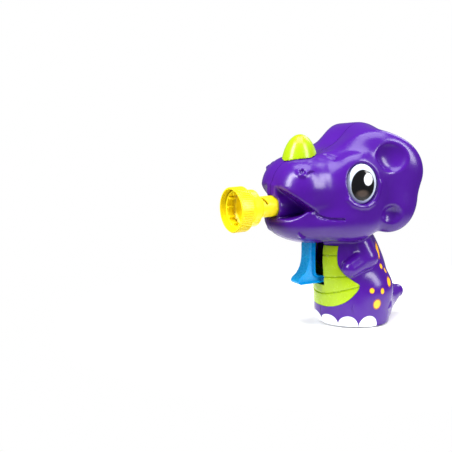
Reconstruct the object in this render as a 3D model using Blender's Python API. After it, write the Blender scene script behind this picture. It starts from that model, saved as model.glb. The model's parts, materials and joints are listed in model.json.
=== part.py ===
"""Hand-squeezed bubble machine in the shape of a baby horned dinosaur.

Squeezing the trigger turns a sector gear, two compound gears and a fan.
The fan blows through a duct, a seal and the yellow nozzle in the mouth.
Lengths are in millimetres; MM turns them into metres.
+X is the animal's left, -Y its front, +Z up; the origin is the middle of the foot.
"""
import math

import bmesh
import bpy
import numpy as np
from mathutils import Matrix, Vector, geometry

MM = 0.001

# Shell
WALL = 2.0                      # moulded wall
GAP = 0.3                       # between neighbours that are fixed together
SPLIT = 0.15                    # half the parting gap between the two shells
OUTER_CELL = 4.8                # facet size of the outer skin
INNER_CELL = 7.6                # facet size of the hidden inner skin
SHELL_FOOT = 0.3                # the shells stop just above the base plate's face

# Base
BASE_RADIUS = 18.8
BASE_THICK = 2.4

# Nozzle, on an axis along Y
NOZZLE_Z = 77.7
RIM_RADIUS = 13.5
RIM_FRONT = -89.4
NECK_RADIUS = 6.4
NECK_END = -46.0
AIR_RADIUS = 5.2
COLLAR_RADIUS = 8.3
COLLAR_BORE = 6.8
COLLAR_FRONT = -60.0

# Trigger, on a pin along X
PIVOT_Y = -30.0
PIVOT_Z = 64.0
PIN_RADIUS = 1.6
SLOT_HALF = 5.2
TRIGGER_HALF = 4.2

# Gear train: module and tooth counts, all axles along X
MODULE = 0.8
PRESSURE = math.radians(20)
SECTOR_TEETH = 60
PINION_TEETH = 10
GEAR_1_TEETH = 30
GEAR_2_TEETH = 25
BACKLASH = 0.22                 # part of a tooth's width
FAN_Y = -20.0
FAN_Z = 88.0
GEAR_1_ANGLE = 35.0             # direction from the trigger pin to the first axle
AXLE_RADIUS = 1.25
LAYER_SECTOR = (8.6, 10.8)
LAYER_FIRST = (11.2, 13.2)
LAYER_SECOND = (13.6, 15.6)
COVER_LAYER = (6.2, 7.6)
PLATE_LAYER = (16.3, 17.8)
AXLE_END = 18.2
POSTS = ((-33.0, 74.5), (-22.0, 99.5))

# Fan housing
FAN_RADIUS = 13.2
FAN_HALF = 4.6
BLADE_THICK = 0.9
DUCT_RADIUS = 6.4
SCROLL_START = 14.2
SCROLL_END = 17.4
SCROLL_WALL = 1.3
HOUSING_BACK = -6.6
OUTLET_FRONT = -37.2

# Screws: places (Y, Z) of the six that close the shells
SCREW_PLACES = ((-46.0, 97.0), (4.0, 113.0), (-49.0, 63.0), (5.0, 40.0), (11.0, 13.0), (-11.0, 13.0))
SCREW_HEAD = 2.6
SCREW_SHANK = 1.2
WELL_RADIUS = 3.1
BOSS_RADIUS = 4.5
BOSS_FLOOR = 4.0

# Horn and eyes
HORN_CENTRE = (0.0, -41.0, 98.0)
HORN_RADII = (10.9, 11.6, 21.6)
EYE_CENTRE = (27.4, -15.6, 91.2)
EYE_TURN = -20.0
EYE_RADII = (4.6, 9.6, 12.2)
EYE_GAP = 0.9
EAR_CENTRE = (21.0, 3.0, 97.0)
EAR_TURN = -31.0

# Belly panel outline in front view: (height, half width)
BELLY_OUTLINE = ((53.0, 12.5), (44.0, 13.0), (38.0, 14.0), (31.0, 18.2), (27.0, 20.5), (21.8, 19.8),
                 (16.9, 17.0), (13.8, 12.0), (12.6, 6.0))
BELLY_BACK = -6.0


# ---------------------------------------------------------------- distance fields of the moulded skin

def local(p, centre, turn=0.0):
    """Points relative to a centre, turned back about the vertical."""
    q = p - np.array(centre)
    c, s = math.cos(math.radians(turn)), math.sin(math.radians(turn))
    return np.stack([c * q[..., 0] + s * q[..., 1], c * q[..., 1] - s * q[..., 0], q[..., 2]], -1)


def ellipsoid(p, centre, radii, turn=0.0):
    q = local(p, centre, turn)
    r = np.array(radii)
    k0 = np.sqrt(((q / r) ** 2).sum(-1))
    k1 = np.sqrt(((q / r ** 2) ** 2).sum(-1))
    return k0 * (k0 - 1) / np.maximum(k1, 1e-6)


def rounded_box(p, centre, half, radius):
    q = np.abs(local(p, centre)) - (np.array(half) - radius)
    return np.sqrt((np.maximum(q, 0) ** 2).sum(-1)) + np.minimum(q.max(-1), 0) - radius


def limb(p, start, end, start_radius, end_radius):
    a, b = np.array(start), np.array(end)
    t = np.clip(((p - a) @ (b - a)) / ((b - a) @ (b - a)), 0, 1)
    away = np.sqrt(((p - a - t[..., None] * (b - a)) ** 2).sum(-1))
    return away - (start_radius + (end_radius - start_radius) * t)


def join(a, b, fillet):
    h = np.maximum(fillet - np.abs(a - b), 0) / fillet
    return np.minimum(a, b) - h * h * fillet / 4


def cut(a, b, fillet):
    return -join(-a, b, fillet)


def head(p):
    """Skull, snout, jaw, cheek, crest, brow and ear."""
    f = ellipsoid(p, (0, -15, 85), (30, 30, 25))
    f = join(f, rounded_box(p, (0, -40, 85), (24, 21.5, 21.5), 19), 9)
    f = join(f, ellipsoid(p, (0, -31, 68.5), (25.5, 31, 15.5)), 4)
    f = join(f, ellipsoid(p, (19, -14, 70), (12.5, 20, 15)), 8)
    f = join(f, ellipsoid(p, (0, 3, 102.8), (24, 17, 21.5)), 10)
    f = join(f, ellipsoid(p, (23, -16.5, 91), (8, 14.5, 17), EYE_TURN), 6)
    q = local(p, EAR_CENTRE, EAR_TURN)
    f = join(f, ellipsoid(q, (0, 0, -0.5), (8.5, 26.5, 23.5)), 12)
    lobe = join(ellipsoid(q, (-0.5, 3.5, -14), (8, 20, 20)), ellipsoid(q, (0, 6, -24), (7.5, 13.5, 13.5)), 8)
    f = join(f, lobe, 3.5)
    f = cut(f, ellipsoid(q, (10.0, 8.2, 10.7), (6.3, 11.2, 10.4)), 1.2)
    f = cut(f, ellipsoid(q, (8.9, 7.3, -25.5), (3.4, 5.0, 4.8)), 3)
    return cut(f, ellipsoid(p, (29.5, -16.0, 91.2), (5.5, 10.4, 13.0), EYE_TURN), 1.5)


def mouth(p):
    """Open mouth: a slanted upper lip, and a lower lip that rises to meet it at the corners."""
    y, z = p[..., 1], p[..., 2]
    upper = (z - 76.7 + 0.842 * (y + 45.3)) / 1.31
    rise = 5.3 * np.clip((y + 57.5) / 9, 0, 1) * np.minimum((p[..., 0] / 20) ** 2, 1)
    return np.maximum(np.maximum(upper, 70.8 + rise - z), y + 42)


def collar(p):
    """Tube that holds the nozzle's neck, and the web that hangs it from the beak."""
    round_part = np.sqrt(p[..., 0] ** 2 + (p[..., 2] - NOZZLE_Z) ** 2) - COLLAR_RADIUS
    tube = np.maximum(round_part, np.maximum(COLLAR_FRONT - p[..., 1], p[..., 1] + 36))
    return join(tube, rounded_box(p, (0, -48.5, 87.5), (5.2, 13.3, 4.5), 2), 2)


def barrel(p):
    """Neck, chest, belly and foot, whose front edge is rounded."""
    f = ellipsoid(p, (0, -8.5, 50), (15.7, 19, 18))
    f = join(f, ellipsoid(p, (0, -4.5, 36), (19.5, 23, 22)), 8)
    f = join(f, ellipsoid(p, (0, -1, 20), (22.5, 23.5, 24)), 8)
    f = join(f, ellipsoid(p, (0, 0, 5), (23, 23, 24)), 8)
    edge = 0.8 + 2.7 * np.clip((4 - p[..., 1]) / 12, 0, 1)
    under = np.maximum(edge - np.maximum(p[..., 2], 0), 0)
    reach = 23.3 - edge + np.sqrt(edge ** 2 - under ** 2) + 1.5 * np.maximum(p[..., 2] - edge, 0)
    return cut(f, reach - np.hypot(p[..., 0], p[..., 1]), 0.5)


def trunk(p):
    """The barrel with haunch, arm and tail."""
    f = join(barrel(p), ellipsoid(p, (14.5, 4.5, 21.5), (10.8, 13.5, 14.5)), 4)
    f = join(f, limb(p, (12.8, -6, 53), (19.3, -4.5, 44), 8.0, 7.3), 2.5)
    f = join(f, limb(p, (19.3, -4.5, 44), (19.3, -15.8, 38.2), 6.8, 5.5), 1.5)
    return join(f, limb(p, (0, 19.5, 11.8), (0, 34.2, 14.4), 12.8, 4.4), 5)


def skin(p):
    """Outer skin before the foot is cut level."""
    p = np.stack([np.abs(p[..., 0]), p[..., 1], p[..., 2]], -1)
    f = cut(head(p), mouth(p), 1.6)
    f = join(f, collar(p), 1.2)
    f = join(f, trunk(p), 3)
    return cut(f, rounded_box(p, (0, -25, 43.5), (SLOT_HALF, 15, 17.8), 1), 1)


def outer(p):
    return np.maximum(skin(p), SHELL_FOOT - p[..., 2])


def inner(p):
    return skin(p) + WALL


def surface_net(field, low, high, cell):
    """Closed mesh of the surface where the field is zero: one point for each cell that it crosses."""
    low = np.array(low)
    count = np.ceil((np.array(high) - low) / cell).astype(int) + 1
    axes = [low[i] + cell * np.arange(count[i]) for i in range(3)]
    value = fill_diagonals(field(np.stack(np.meshgrid(*axes, indexing="ij"), -1)), cell)
    inside = value < 0
    corners = [np.array((i, j, k)) for i in (0, 1) for j in (0, 1) for k in (0, 1)]
    total = sum(inside[tuple(slice(c[i], count[i] - 1 + c[i]) for i in range(3))].astype(int)
                for c in corners)
    cells = np.argwhere((total > 0) & (total < 8))
    number = -np.ones(total.shape, int)
    number[tuple(cells.T)] = np.arange(len(cells))
    points, hits = np.zeros((len(cells), 3)), np.zeros(len(cells))
    for corner in corners:
        for axis in range(3):
            if corner[axis]:
                continue
            step = np.eye(3, dtype=int)[axis]
            a, b = value[tuple((cells + corner).T)], value[tuple((cells + corner + step).T)]
            crossed = (a < 0) != (b < 0)
            part = a[crossed] / (a[crossed] - b[crossed])
            points[crossed] += cells[crossed] + corner + part[:, None] * step
            hits[crossed] += 1
    points = low + cell * points / hits[:, None]
    points = onto_surface(field, points, cell)
    quads = []
    for axis in range(3):
        here, there = [slice(1, -1)] * 3, [slice(1, -1)] * 3
        here[axis], there[axis] = slice(0, -1), slice(1, None)
        start = np.ones(3, int)
        start[axis] = 0
        edges = np.argwhere(inside[tuple(here)] != inside[tuple(there)]) + start
        leaving = inside[tuple(edges.T)]
        u, w = np.eye(3, dtype=int)[(axis + 1) % 3], np.eye(3, dtype=int)[(axis + 2) % 3]
        quad = np.stack([number[tuple((edges - d).T)] for d in (0 * u, u, u + w, w)], -1)
        quad[~leaving] = quad[~leaving][:, ::-1]
        quads.append(quad)
    return points, np.concatenate(quads)


def fill_diagonals(value, cell):
    """Fills cell faces whose inside corners are diagonal, so that no two sheets share an edge."""
    for _ in range(6):
        for axis in range(3):
            u, w = [i for i in range(3) if i != axis]
            parts = []
            for du, dw in ((0, 0), (0, 1), (1, 0), (1, 1)):
                window = [slice(None)] * 3
                window[u] = slice(du, value.shape[u] - 1 + du)
                window[w] = slice(dw, value.shape[w] - 1 + dw)
                parts.append(value[tuple(window)])
            a, b, c, d = [part < 0 for part in parts]
            diagonal = (a & d & ~b & ~c) | (b & c & ~a & ~d)
            for part in parts:
                part[diagonal & (part >= 0)] = -0.05 * cell
    return value


def onto_surface(field, points, cell):
    """Two steps along the slope, each shorter than a cell."""
    for _ in range(2):
        h = 0.2 * cell
        slope = np.stack([(field(points + h * e) - field(points - h * e)) / (2 * h) for e in np.eye(3)], -1)
        move = -field(points)[:, None] * slope / np.maximum((slope ** 2).sum(-1, keepdims=True), 0.05)
        length = np.linalg.norm(move, axis=1, keepdims=True)
        points = points + move * np.minimum(1, 0.6 * cell / np.maximum(length, 1e-9))
    return points


def wall_x(y, z, depth):
    """Distance from the middle plane to the point where the skin's depth is reached, at (y, z)."""
    x = np.linspace(3, 45, 421)
    points = np.stack([x, np.full_like(x, y), np.full_like(x, z)], -1)
    return float(x[np.argmax(skin(points) > -depth)])


# ---------------------------------------------------------------- Blender helpers

def finish(name, mesh_maker, material):
    """A named object from a filled bmesh, with its material."""
    mesh = bpy.data.meshes.new(name)
    bmesh.ops.recalc_face_normals(mesh_maker, faces=mesh_maker.faces)
    mesh_maker.to_mesh(mesh)
    mesh_maker.free()
    item = bpy.data.objects.new(name, mesh)
    bpy.context.collection.objects.link(item)
    if material:
        mesh.materials.append(material)
        mesh.shade_smooth()
        mesh.set_sharp_from_angle(angle=math.radians(35))
    return item


def plastic(name, colour, roughness=0.3, metallic=0.0):
    material = bpy.data.materials.new(name)
    material.use_nodes = True
    shader = material.node_tree.nodes["Principled BSDF"]
    shader.inputs["Base Color"].default_value = (*colour, 1.0)
    shader.inputs["Roughness"].default_value = roughness
    shader.inputs["Metallic"].default_value = metallic
    return material


def net_object(name, field, low, high, cell, material):
    points, quads = surface_net(field, low, high, cell)
    maker = bmesh.new()
    verts = [maker.verts.new(Vector(point) * MM) for point in points]
    for quad in quads:
        if len(set(quad)) == 4:
            maker.faces.new([verts[i] for i in quad])
    return finish(name, maker, material)


def loop_points(outline):
    return [Vector((0, y * MM, z * MM)) for y, z in outline]


def plate(name, outline, x_low, x_high, material, holes=()):
    """A flat piece of constant thickness along X, from outlines of (y, z) points."""
    maker = bmesh.new()
    edges = []
    for points in (outline, *holes):
        verts = [maker.verts.new(point + Vector((x_low * MM, 0, 0))) for point in loop_points(points)]
        edges += [maker.edges.new((verts[i - 1], verts[i])) for i in range(len(verts))]
    bmesh.ops.triangle_fill(maker, edges=edges, use_beauty=True)
    grown = bmesh.ops.extrude_face_region(maker, geom=maker.faces[:])
    moved = [item for item in grown["geom"] if isinstance(item, bmesh.types.BMVert)]
    bmesh.ops.translate(maker, verts=moved, vec=((x_high - x_low) * MM, 0, 0))
    return finish(name, maker, material)


def circle(y, z, radius, count=20, first=0.0):
    angles = [first + math.tau * i / count for i in range(count)]
    return [(y + radius * math.cos(angle), z + radius * math.sin(angle)) for angle in angles]


def turned(name, profile, material, steps=32, place=(0, 0, 0), axis="Y"):
    """A turned piece from a closed profile of (distance along the axis, radius) points."""
    maker = bmesh.new()
    rings = []
    for along, radius in profile:
        if radius < 1e-6:
            rings.append([maker.verts.new((along * MM, 0, 0))])
        else:
            ring = circle(0, 0, radius, steps)
            rings.append([maker.verts.new((along * MM, a * MM, b * MM)) for a, b in ring])
    for k, ring in enumerate(rings):
        after = rings[(k + 1) % len(rings)]
        if len(ring) == 1 and len(after) == 1:
            continue
        for i in range(steps):
            j = (i + 1) % steps
            corners = [ring[i % len(ring)], ring[j % len(ring)], after[j % len(after)], after[i % len(after)]]
            maker.faces.new(list(dict.fromkeys(corners)))
    if axis != "X":
        turn = Matrix.Rotation(math.radians(90), 3, "Z" if axis == "Y" else "Y")
        bmesh.ops.rotate(maker, verts=maker.verts, matrix=turn if axis == "Y" else turn.inverted())
    bmesh.ops.translate(maker, verts=maker.verts, vec=Vector(place) * MM)
    return finish(name, maker, material)


def rod(name, low, high, radius, material, place, steps=16, axis="X"):
    return turned(name, ((low, 0), (low, radius), (high, radius), (high, 0)), material, steps, place, axis)


def block(name, low, high, material=None):
    maker = bmesh.new()
    bmesh.ops.create_cube(maker, size=1.0)
    size = Vector(high) - Vector(low)
    bmesh.ops.scale(maker, verts=maker.verts, vec=size * MM)
    bmesh.ops.translate(maker, verts=maker.verts, vec=(Vector(low) + Vector(high)) / 2 * MM)
    return finish(name, maker, material)


def combine(target, tool, operation="DIFFERENCE"):
    """Boolean with a hidden tool; the result is stored in the target at once."""
    tool.hide_render = True
    tool.display_type = "WIRE"
    modifier = target.modifiers.new(operation.title(), "BOOLEAN")
    modifier.operation = operation
    modifier.object = tool
    modifier.solver = "MANIFOLD"
    graph = bpy.context.evaluated_depsgraph_get()
    mesh = bpy.data.meshes.new_from_object(target.evaluated_get(graph))
    target.modifiers.remove(modifier)
    old = target.data
    target.data = mesh
    bpy.data.meshes.remove(old)


def drop(*tools):
    for tool in tools:
        bpy.data.objects.remove(tool)


def hull(points):
    """Convex outline around (y, z) points."""
    vectors = [Vector(point) for point in points]
    return [points[i] for i in geometry.convex_hull_2d(vectors)]


def copy_of(source, name):
    item = source.copy()
    item.data = source.data.copy()
    item.name = name
    bpy.context.collection.objects.link(item)
    return item


# ---------------------------------------------------------------- gears

def involute(angle):
    return math.tan(angle) - angle


def tooth(teeth, middle, y, z):
    """Points of one tooth, from its clockwise foot to its other foot."""
    pitch = MODULE * teeth / 2
    base, tip, root = pitch * math.cos(PRESSURE), pitch + 0.8 * MODULE, pitch - 1.15 * MODULE
    half_pitch = math.pi / (2 * teeth) * (1 - BACKLASH)
    flank = [(r, math.acos(min(1.0, base / r))) for r in (root, pitch, tip)]
    halves = [half_pitch + involute(PRESSURE) - involute(a) for _, a in flank]
    side = [(r, half) for (r, _), half in zip(flank, halves)]
    ring = [(r, middle - half) for r, half in side] + [(r, middle + half) for r, half in reversed(side)]
    return [(y + r * math.cos(a), z + r * math.sin(a)) for r, a in ring]


def gear_outline(teeth, first, y, z):
    points = []
    for k in range(teeth):
        points += tooth(teeth, first + math.tau * k / teeth, y, z)
    return points


def mesh_phase(driver_teeth, driver_first, direction, teeth):
    """Angle of a follower's first tooth, so that its gap meets the driver's tooth in a direction."""
    driver = (direction - driver_first) * driver_teeth / math.tau
    return direction + math.pi + (driver - 0.5) * math.tau / teeth


def axle_places():
    """(y, z) of the first and second axles, at the gears' centre distances."""
    first_reach = MODULE * (SECTOR_TEETH + PINION_TEETH) / 2
    angle = math.radians(GEAR_1_ANGLE)
    first = Vector((PIVOT_Y + first_reach * math.cos(angle), PIVOT_Z + first_reach * math.sin(angle)))
    fan = Vector((FAN_Y, FAN_Z))
    from_fan = MODULE * (GEAR_2_TEETH + PINION_TEETH) / 2
    from_first = MODULE * (GEAR_1_TEETH + PINION_TEETH) / 2
    line = first - fan
    along = (line.length ** 2 + from_fan ** 2 - from_first ** 2) / (2 * line.length)
    off = math.sqrt(from_fan ** 2 - along ** 2)
    line.normalize()
    second = fan + line * along + Vector((-line.y, line.x)) * off
    return first, second


def towards(a, b):
    return math.atan2(b[1] - a[1], b[0] - a[0])


def gear(name, teeth, first, place, layer, material, bore):
    return plate(name, gear_outline(teeth, first, *place), *layer, material, [circle(*place, bore, 12)])


def gear_train(white, steel, blue):
    """Sector, two compound gears, the fan's pinion and their axles."""
    first, second = axle_places()
    pivot, fan = (PIVOT_Y, PIVOT_Z), (FAN_Y, FAN_Z)
    bore = AXLE_RADIUS + 0.3
    sector_first = math.radians(GEAR_1_ANGLE)
    sector(sector_first, pivot, blue)

    pinion_1 = mesh_phase(SECTOR_TEETH, sector_first, towards(pivot, first), PINION_TEETH)
    wheel_1 = gear("compound_gear_1", GEAR_1_TEETH, 0.0, first, LAYER_FIRST, white, bore)
    layer = (LAYER_SECTOR[0], LAYER_FIRST[0] + 0.5)
    small_1 = gear("small_1", PINION_TEETH, pinion_1, first, layer, None, bore)
    combine(wheel_1, small_1, "UNION")
    drop(small_1)

    pinion_2 = mesh_phase(GEAR_1_TEETH, 0.0, towards(first, second), PINION_TEETH)
    wheel_2 = gear("compound_gear_2", GEAR_2_TEETH, 0.0, second, LAYER_SECOND, white, bore)
    layer = (LAYER_FIRST[0], LAYER_SECOND[0] + 0.5)
    small_2 = gear("small_2", PINION_TEETH, pinion_2, second, layer, None, bore)
    combine(wheel_2, small_2, "UNION")
    drop(small_2)

    pinion_3 = mesh_phase(GEAR_2_TEETH, 0.0, towards(second, fan), PINION_TEETH)
    gear("fan_pinion", PINION_TEETH, pinion_3, fan, LAYER_SECOND, white, AXLE_RADIUS + GAP)
    for number, place in ((1, first), (2, second)):
        rod(f"gear_axle_{number}", COVER_LAYER[0] + 0.2, AXLE_END, AXLE_RADIUS, steel, (0, *place))
    rod("fan_shaft", -FAN_HALF, AXLE_END, AXLE_RADIUS, steel, (0, *fan))
    return first, second


def sector(middle, place, material):
    """Toothed sector on the trigger's pin, with teeth below the contact for the stroke to come."""
    step = math.tau / SECTOR_TEETH
    points = []
    for k in range(-5, 2):
        points += tooth(SECTOR_TEETH, middle + k * step, *place)
    low, high = middle - 5.5 * step, middle + 1.5 * step
    turn = math.tau - (high - low) - 2.2
    for i in range(13):
        angle = high + 1.1 + turn * i / 12
        points.append((place[0] + 5.0 * math.cos(angle), place[1] + 5.0 * math.sin(angle)))
    plate("sector_gear", points, *LAYER_SECTOR, material, [circle(*place, 3.3, 6)])


# ---------------------------------------------------------------- trigger

def trigger(blue, steel):
    """Finger lever with a hub, a six-sided drive for the sector and a hole for the pin."""
    y, z = PIVOT_Y, PIVOT_Z
    front = [(-36.6, 55.0), (-36.5, 43.0), (-37.6, 38.0), (-40.0, 34.0), (-43.6, 31.2), (-43.8, 28.9)]
    foot = [(-42.0, 27.7), (-25.5, 27.7), (-24.0, 28.8), (-24.0, 30.6), (-25.5, 31.8), (-29.5, 32.2)]
    back = [(-31.4, 34.5), (-31.7, 43.0), (-31.6, 52.6), (-30.6, 54.2), (-26.0, 54.6), (-25.3, 55.4),
            (-25.3, 60.6)]
    hub = [(y + 4.4, z), (y + 3.1, z + 3.1), (y, z + 4.4), (y - 3.1, z + 3.1), (y - 4.6, z)]
    outline = hub + front + foot + back
    lever = plate("trigger", outline, -TRIGGER_HALF, TRIGGER_HALF, blue)
    boss = rod("boss", TRIGGER_HALF - 0.5, 8.2, 4.6, None, (0, y, z), 20)
    combine(lever, boss, "UNION")
    drive = plate("drive", circle(y, z, 2.9, 6), 7.8, LAYER_SECTOR[1] - 0.2, None)
    combine(lever, drive, "UNION")
    bore = rod("bore", -20, 20, PIN_RADIUS + GAP, None, (0, y, z))
    combine(lever, bore)
    drop(boss, drive, bore)
    rod("trigger_pin", -8.6, AXLE_END, PIN_RADIUS, steel, (0, y, z))


def coil(name, place, length, radius, wire, turns, material, per_turn=8):
    """A compression spring along Y: a round wire on a helix, closed at both ends."""
    maker = bmesh.new()
    count = int(turns * per_turn)
    rings = []
    for i in range(count + 1):
        angle = math.tau * i / per_turn
        centre = Vector((radius * math.cos(angle), length * i / count, radius * math.sin(angle)))
        out = Vector((math.cos(angle), 0, math.sin(angle)))
        rings.append([maker.verts.new((Vector(place) + centre + wire * (out * math.cos(math.tau * k / 6)
                      + Vector((0, 1, 0)) * math.sin(math.tau * k / 6))) * MM) for k in range(6)])
    for a, b in zip(rings, rings[1:]):
        for k in range(6):
            maker.faces.new((a[k], a[(k + 1) % 6], b[(k + 1) % 6], b[k]))
    maker.faces.new(rings[0])
    maker.faces.new(rings[-1])
    return finish(name, maker, material)


# ---------------------------------------------------------------- fan, housing and air path

def scroll(clearance):
    """Spiral outline of the housing, grown by a clearance, with its outlet towards the front."""
    points = []
    for i in range(25):
        angle = math.radians(-90 + 300 * i / 24)
        radius = SCROLL_END - (SCROLL_END - SCROLL_START) * i / 24 + clearance
        points.append((FAN_Y + radius * math.cos(angle), FAN_Z + radius * math.sin(angle)))
    top = NOZZLE_Z + 5.4 + clearance
    bottom = FAN_Z - SCROLL_END - clearance
    return points + [(OUTLET_FRONT, top), (OUTLET_FRONT, bottom)]


def housing(grey, white, steel):
    """Scroll housing, its cover, the gear plate on posts, and the fan inside."""
    body = plate("fan_housing", scroll(SCROLL_WALL), HOUSING_BACK, COVER_LAYER[0] - GAP, grey)
    room = scroll(0.0)
    room[-2] = (OUTLET_FRONT - 5, room[-2][1])
    room[-1] = (OUTLET_FRONT - 5, room[-1][1])
    hollow = plate("hollow", room, HOUSING_BACK + SCROLL_WALL, 20, None)
    inlet = rod("inlet", -20, 0, 7.5, None, (0, FAN_Y, FAN_Z), 24)
    combine(body, hollow)
    combine(body, inlet)
    drop(hollow, inlet)

    first, second = axle_places()
    holes = [circle(*place, AXLE_RADIUS + GAP, 10) for place in (first, second)]
    bearing = [circle(FAN_Y, FAN_Z, 3.2, 16)]
    pin = [circle(PIVOT_Y, PIVOT_Z, 5.0, 16)]
    corners = circle(PIVOT_Y, PIVOT_Z, 6.6) + circle(*first, 4.0) + circle(*second, 4.0)
    plate("fan_cover", hull(scroll(SCROLL_WALL) + corners), *COVER_LAYER, grey, holes + bearing + pin)
    pin_hole = [circle(PIVOT_Y, PIVOT_Z, PIN_RADIUS + GAP, 12)]
    corners = circle(PIVOT_Y, PIVOT_Z, 4.0) + circle(*first, 4.0) + circle(*second, 4.0)
    for place in POSTS:
        corners += circle(*place, 3.0)
    gear_plate = plate("gear_plate", hull(corners), *PLATE_LAYER, grey, holes + bearing + pin_hole)
    for number, place in enumerate(POSTS, 1):
        post = rod("post", COVER_LAYER[1] + GAP, PLATE_LAYER[0] + 0.5, 2.2, None, (0, *place), 12)
        combine(gear_plate, post, "UNION")
        hole = rod("hole", 0, 30, 1.2, None, (0, *place), 10)
        combine(gear_plate, hole)
        drop(post, hole)
        screw(f"gear_screw_{number}", PLATE_LAYER[1] + GAP, 6.0, 0.85, 2.0, place, steel, side=1)
    for name, layer in (("fan_bush_inner", COVER_LAYER), ("fan_bush_outer", PLATE_LAYER)):
        turned(name, ((layer[0] + 0.1, AXLE_RADIUS + GAP), (layer[0] + 0.1, 2.9), (layer[1] - 0.1, 2.9),
                      (layer[1] - 0.1, AXLE_RADIUS + GAP)), steel, 16, (0, FAN_Y, FAN_Z), "X")
    impeller(white)


def impeller(material):
    """Backplate, hub and eleven curved blades."""
    wheel = turned("impeller", ((4.4, AXLE_RADIUS + GAP), (4.4, FAN_RADIUS), (3.2, FAN_RADIUS), (3.2, 3.4),
                                (-3.6, 3.2), (-3.6, AXLE_RADIUS + GAP)), material, 24, (0, FAN_Y, FAN_Z), "X")
    for k in range(11):
        start = math.tau * k / 11 + 0.05
        side = []
        for i in range(4):
            radius = 6.6 + (FAN_RADIUS - 0.4 - 6.6) * i / 3
            angle = start + 0.14 * i
            side.append((radius, angle))
        side += [(r, a + BLADE_THICK / r) for r, a in reversed(side)]
        outline = [(FAN_Y + r * math.cos(a), FAN_Z + r * math.sin(a)) for r, a in side]
        blade = plate("blade", outline, -3.6, 3.6, None)
        combine(wheel, blade, "UNION")
        drop(blade)


def tube(low, high):
    """Profile of a tube between two distances."""
    return (low, AIR_RADIUS), (low, DUCT_RADIUS), (high, DUCT_RADIUS), (high, AIR_RADIUS)


def air_path(yellow, grey, rubber):
    """Duct from the housing, seal, and the nozzle with its bubble ring."""
    at = (0, 0, NOZZLE_Z)
    seal_front, seal_back = NECK_END + GAP, NECK_END + GAP + 1.0
    duct_front = seal_back + GAP
    duct_back = OUTLET_FRONT - GAP
    turned("air_duct", tube(duct_front, duct_back), grey, 24, at)
    turned("nozzle_seal", tube(seal_front, seal_back), rubber, 24, at)
    profile = ((RIM_FRONT, 12.2), (RIM_FRONT, RIM_RADIUS), (-81.0, RIM_RADIUS), (-80.2, 12.6), (-78.6, 11.2),
               (-74.2, 11.0), (-71.6, NECK_RADIUS + 0.6), (-70.6, NECK_RADIUS), (NECK_END, NECK_RADIUS),
               (NECK_END, AIR_RADIUS), (-70.0, AIR_RADIUS), (-73.4, 9.4), (-79.6, 9.8), (-81.6, 12.2))
    turned("nozzle", profile, yellow, 28, at)
    bubble_ring(yellow)


def bubble_ring(material):
    """Ring in the nozzle's bell whose short spokes hold the film of soap."""
    ring = turned("bubble_ring", ((-86.0, 10.4), (-86.0, 11.8), (-82.0, 11.8), (-82.0, 10.4)), material, 30,
                  (0, 0, NOZZLE_Z))
    for k in range(10):
        spoke = block("spoke", (-0.45, -85.8, 8.6), (0.45, -82.2, 11.0))
        spoke.data.transform(Matrix.Rotation(math.tau * (k + 0.5) / 10, 4, "Y"))
        spoke.data.transform(Matrix.Translation((0, 0, NOZZLE_Z * MM)))
        combine(ring, spoke, "UNION")
        drop(spoke)


# ---------------------------------------------------------------- shells and what is fixed to them

def screw(name, seat, length, shank, head, place, material, side):
    """A pan-head screw along X: its head lies outwards of the seat, its shank inwards."""
    profile = ((seat + 1.7, 0), (seat + 1.7, head * 0.7), (seat + 1.1, head), (seat, head), (seat, shank),
               (seat - length, shank), (seat - length - 0.8, 0))
    return turned(name, [(side * along, radius) for along, radius in profile], material, 10, (0, *place), "X")


def bosses(left, right, steel):
    """Screw towers in both shells, and the six screws."""
    for number, (y, z) in enumerate(SCREW_PLACES, 1):
        reach = wall_x(y, z, WALL * 0.6)
        for shell, low, high, radius in ((left, SPLIT, reach, 3.6), (right, -reach, -SPLIT, BOSS_RADIUS)):
            tower = rod("tower", low, high, radius, None, (0, y, z), 10)
            combine(shell, tower, "UNION")
            drop(tower)
        hole = rod("hole", -BOSS_FLOOR - 1, 9.5, SCREW_SHANK + GAP, None, (0, y, z), 10)
        combine(left, hole)
        combine(right, hole)
        well = rod("well", -45, -BOSS_FLOOR, WELL_RADIUS, None, (0, y, z), 12)
        combine(right, well)
        drop(hole, well)
        seat = BOSS_FLOOR + GAP
        screw(f"shell_screw_{number}", seat, 12.0, SCREW_SHANK, SCREW_HEAD, (y, z), steel, side=-1)


def belly_prism(name, grow):
    """Belly outline seen from the front, grown evenly, as a solid along Y."""
    right = [(half + grow, z) for z, half in BELLY_OUTLINE]
    right[0] = (right[0][0], right[0][1] + 6)
    right[-1] = (right[-1][0], right[-1][1] - grow)
    points = right + [(-x, z) for x, z in reversed(right)]
    maker = bmesh.new()
    verts = [maker.verts.new((x * MM, -60 * MM, z * MM)) for x, z in points]
    face = maker.faces.new(verts)
    grown = bmesh.ops.extrude_face_region(maker, geom=[face])
    moved = [item for item in grown["geom"] if isinstance(item, bmesh.types.BMVert)]
    bmesh.ops.translate(maker, verts=moved, vec=(0, (60 + BELLY_BACK + grow) * MM, 0))
    return finish(name, maker, None)


def belly_field(depth, floor):
    """The barrel alone, drawn in by a depth and cut level at a floor."""
    return lambda p: np.maximum(barrel(p) + depth, floor - p[..., 2])


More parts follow.
